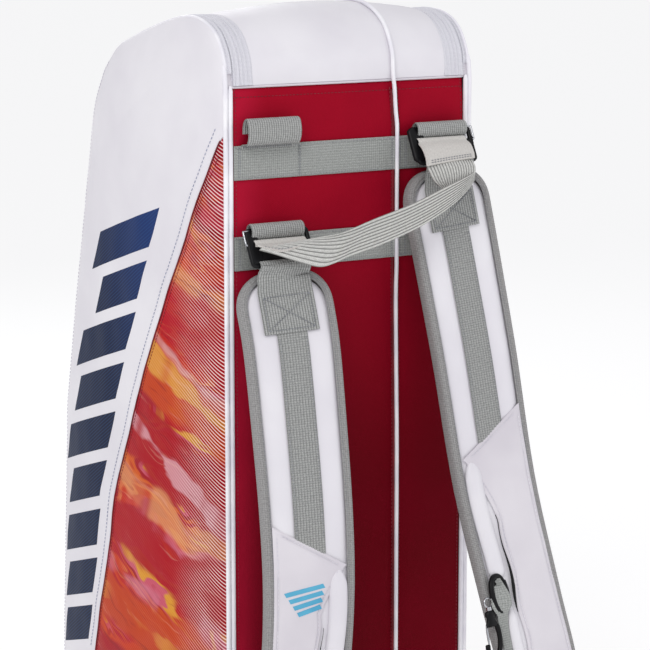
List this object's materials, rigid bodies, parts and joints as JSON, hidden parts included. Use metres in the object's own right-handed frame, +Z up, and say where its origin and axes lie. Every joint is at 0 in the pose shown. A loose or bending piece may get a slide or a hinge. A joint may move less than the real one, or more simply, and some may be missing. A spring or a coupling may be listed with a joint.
{
  "type": "racket backpack",
  "caption": "Tall two-compartment racket backpack with white side lids, red back panel, padded shoulder straps on hanging rings and a diagonal webbing carry handle.",
  "frame": {"origin": "middle of the base, on the ground", "axes": "+Z up; -Y out of the back panel that carries the shoulder straps; +X to the right of somebody looking at that panel"},
  "size_m": [0.3191, 0.4843, 0.7597],
  "materials": {
    "white_pu": "white coated fabric with a soft semi-gloss",
    "red_pu": "deep red coated fabric, fine grain",
    "printed_pu": "glossy printed fabric, red and orange brush strokes under fine slanted lines",
    "grey_webbing": "ribbed grey polyester webbing",
    "black_plastic": "black moulded plastic",
    "zip_metal": "bright zip slider",
    "lining": "grey lining and base fabric",
    "zip_tape": "white reverse-coil zip tape"
  },
  "bodies": {
    "bag": {"back_panel": "red_pu", "dome_panel": "white_pu", "front_panel": "white_pu", "bottom_panel": "lining", "divider": "lining", "center_piping": "white_pu", "left_edge_piping": "white_pu", "right_edge_piping": "white_pu", "left_zip_tape": "zip_tape", "right_zip_tape": "zip_tape", "upper_band": "grey_webbing", "lower_band": "grey_webbing", "loop_upper_left": "grey_webbing", "loop_lower_left": "grey_webbing", "loop_upper_right": "grey_webbing", "loop_lower_right": "grey_webbing", "left_anchor_tab": "grey_webbing", "right_anchor_tab": "grey_webbing", "front_handle_tab_top": "grey_webbing", "front_handle_tab_bottom": "grey_webbing"},
    "left_lid": {"left_side_panel": "white_pu", "left_print_panel": "printed_pu", "left_lid_tape": "zip_tape"},
    "left_slider_upper": {"left_slider_upper": "zip_metal"},
    "left_pull_upper": {"left_pull_upper": "black_plastic"},
    "left_slider_lower": {"left_slider_lower": "zip_metal"},
    "left_pull_lower": {"left_pull_lower": "black_plastic"},
    "right_lid": {"right_side_panel": "white_pu", "right_print_panel": "printed_pu", "right_lid_tape": "zip_tape"},
    "right_slider_upper": {"right_slider_upper": "zip_metal"},
    "right_pull_upper": {"right_pull_upper": "black_plastic"},
    "right_slider_lower": {"right_slider_lower": "zip_metal"},
    "right_pull_lower": {"right_pull_lower": "black_plastic"},
    "left_ring": {"left_ring": "black_plastic"},
    "handle_left_end": {"handle_left_end": "grey_webbing"},
    "left_strap": {"left_strap_loop": "grey_webbing", "left_strap_tab": "grey_webbing", "left_strap_pad": "white_pu", "left_strap_binding": "grey_webbing", "left_strap_webbing": "grey_webbing", "left_strap_cover": "white_pu"},
    "left_strap_dring": {"left_strap_dring": "black_plastic"},
    "left_snap_hook": {"left_snap_hook": "black_plastic"},
    "left_lower_webbing": {"left_lower_webbing": "grey_webbing"},
    "left_adjuster": {"left_adjuster": "black_plastic"},
    "right_ring": {"right_ring": "black_plastic"},
    "handle_right_end": {"handle_right_end": "grey_webbing"},
    "right_strap": {"right_strap_loop": "grey_webbing", "right_strap_tab": "grey_webbing", "right_strap_pad": "white_pu", "right_strap_binding": "grey_webbing", "right_strap_webbing": "grey_webbing", "right_strap_cover": "white_pu"},
    "right_strap_dring": {"right_strap_dring": "black_plastic"},
    "right_snap_hook": {"right_snap_hook": "black_plastic"},
    "right_lower_webbing": {"right_lower_webbing": "grey_webbing"},
    "right_adjuster": {"right_adjuster": "black_plastic"},
    "grab_handle": {"grab_handle": "grey_webbing"},
    "front_handle": {"front_handle": "grey_webbing"}
  },
  "joints": [
    {"name": "left_lid_hinge", "type": "hinge", "parent": "bag", "child": "left_lid", "pos_m": [-0.1275, -0.158, 0.35], "axis": [0, 0, 1], "range_deg": [0, 60]},
    {"name": "left_slider_upper_slide", "type": "slide", "parent": "bag", "child": "left_slider_upper", "axis": [0, -0.0669, 0.9978], "range_m": [0, 0.035]},
    {"name": "left_pull_upper_flap", "type": "hinge", "parent": "left_slider_upper", "child": "left_pull_upper", "pos_m": [-0.1215, 0.16173, 0.3155], "axis": [1, 0, 0], "range_deg": [0, 90]},
    {"name": "left_slider_lower_slide", "type": "slide", "parent": "bag", "child": "left_slider_lower", "axis": [0, 0.0669, -0.9978], "range_m": [0, 0.12]},
    {"name": "left_pull_lower_flap", "type": "hinge", "parent": "left_slider_lower", "child": "left_pull_lower", "pos_m": [-0.1215, 0.16529, 0.2625], "axis": [1, 0, 0], "range_deg": [0, 90]},
    {"name": "right_lid_hinge", "type": "hinge", "parent": "bag", "child": "right_lid", "pos_m": [0.1275, -0.158, 0.35], "axis": [0, 0, -1], "range_deg": [0, 60]},
    {"name": "right_slider_upper_slide", "type": "slide", "parent": "bag", "child": "right_slider_upper", "axis": [0, -0.0669, 0.9978], "range_m": [0, 0.035]},
    {"name": "right_pull_upper_flap", "type": "hinge", "parent": "right_slider_upper", "child": "right_pull_upper", "pos_m": [0.1215, 0.16173, 0.3155], "axis": [1, 0, 0], "range_deg": [0, 90]},
    {"name": "right_slider_lower_slide", "type": "slide", "parent": "bag", "child": "right_slider_lower", "axis": [0, 0.0669, -0.9978], "range_m": [0, 0.12]},
    {"name": "right_pull_lower_flap", "type": "hinge", "parent": "right_slider_lower", "child": "right_pull_lower", "pos_m": [0.1215, 0.16529, 0.2625], "axis": [1, 0, 0], "range_deg": [0, 90]},
    {"name": "left_ring_swing", "type": "hinge", "parent": "bag", "child": "left_ring", "pos_m": [-0.086, -0.1665, 0.5635], "axis": [-1, 0, 0], "range_deg": [0, 8]},
    {"name": "handle_left_end_pivot", "type": "hinge", "parent": "left_ring", "child": "handle_left_end", "pos_m": [-0.086, -0.17198, 0.55227], "axis": [-1, 0, 0], "range_deg": [-8, 0]},
    {"name": "left_strap_swing", "type": "hinge", "parent": "left_ring", "child": "left_strap", "pos_m": [-0.086, -0.18009, 0.53564], "axis": [-1, 0, 0], "range_deg": [0, 36]},
    {"name": "left_strap_dring_flap", "type": "hinge", "parent": "left_strap", "child": "left_strap_dring", "pos_m": [-0.06807, -0.21977, 0.14625], "axis": [-0.0186, 0.1877, -0.982], "range_deg": [0, 35]},
    {"name": "left_snap_hook_swing", "type": "hinge", "parent": "left_strap_dring", "child": "left_snap_hook", "pos_m": [-0.0467, -0.22819, 0.14069], "axis": [-0.975, 0.2142, 0.0594], "range_deg": [0, 50]},
    {"name": "left_lower_webbing_swing", "type": "hinge", "parent": "left_strap", "child": "left_lower_webbing", "pos_m": [-0.08691, -0.18942, 0.07668], "axis": [-1, 0, 0], "range_deg": [0, 35]},
    {"name": "left_adjuster_slide", "type": "slide", "parent": "left_lower_webbing", "child": "left_adjuster", "axis": [-0.2283, 0.4201, -0.8783], "range_m": [-0.006, 0.01]},
    {"name": "right_ring_swing", "type": "hinge", "parent": "bag", "child": "right_ring", "pos_m": [0.088, -0.1665, 0.643], "axis": [-1, 0, 0], "range_deg": [0, 8]},
    {"name": "handle_right_end_pivot", "type": "hinge", "parent": "right_ring", "child": "handle_right_end", "pos_m": [0.088, -0.17198, 0.63177], "axis": [-1, 0, 0], "range_deg": [-8, 0]},
    {"name": "right_strap_swing", "type": "hinge", "parent": "right_ring", "child": "right_strap", "pos_m": [0.088, -0.18009, 0.61514], "axis": [-1, 0, 0], "range_deg": [0, 13]},
    {"name": "right_strap_dring_flap", "type": "hinge", "parent": "right_strap", "child": "right_strap_dring", "pos_m": [0.10107, -0.25704, 0.22996], "axis": [-0.0844, 0.3014, 0.9498], "range_deg": [0, 35]},
    {"name": "right_snap_hook_swing", "type": "hinge", "parent": "right_strap_dring", "child": "right_snap_hook", "pos_m": [0.07827, -0.26153, 0.22567], "axis": [-0.9947, 0.0302, -0.0984], "range_deg": [0, 50]},
    {"name": "right_lower_webbing_swing", "type": "hinge", "parent": "right_strap", "child": "right_lower_webbing", "pos_m": [0.12899, -0.27882, 0.10261], "axis": [-1, 0, 0], "range_deg": [0, 35]},
    {"name": "right_adjuster_slide", "type": "slide", "parent": "right_lower_webbing", "child": "right_adjuster", "axis": [-0.2328, 0.8248, -0.5153], "range_m": [-0.02, 0.05]},
    {"name": "grab_handle_lift", "type": "hinge", "parent": "handle_left_end", "child": "grab_handle", "pos_m": [-0.086, -0.17198, 0.55227], "axis": [-0.9096, 0, -0.4156], "range_deg": [0, 50]},
    {"name": "front_handle_flop", "type": "hinge", "parent": "bag", "child": "front_handle", "pos_m": [0, 0.16523, 0.3529], "axis": [0, 0.0669, -0.9978], "range_deg": [-40, 40]}
  ],
  "couplings": [
    {"joint": "handle_left_end_pivot", "follows": "left_ring_swing", "ratio": -1},
    {"joint": "handle_right_end_pivot", "follows": "left_ring_swing", "ratio": -1},
    {"joint": "right_ring_swing", "follows": "left_ring_swing", "ratio": 1}
  ]
}
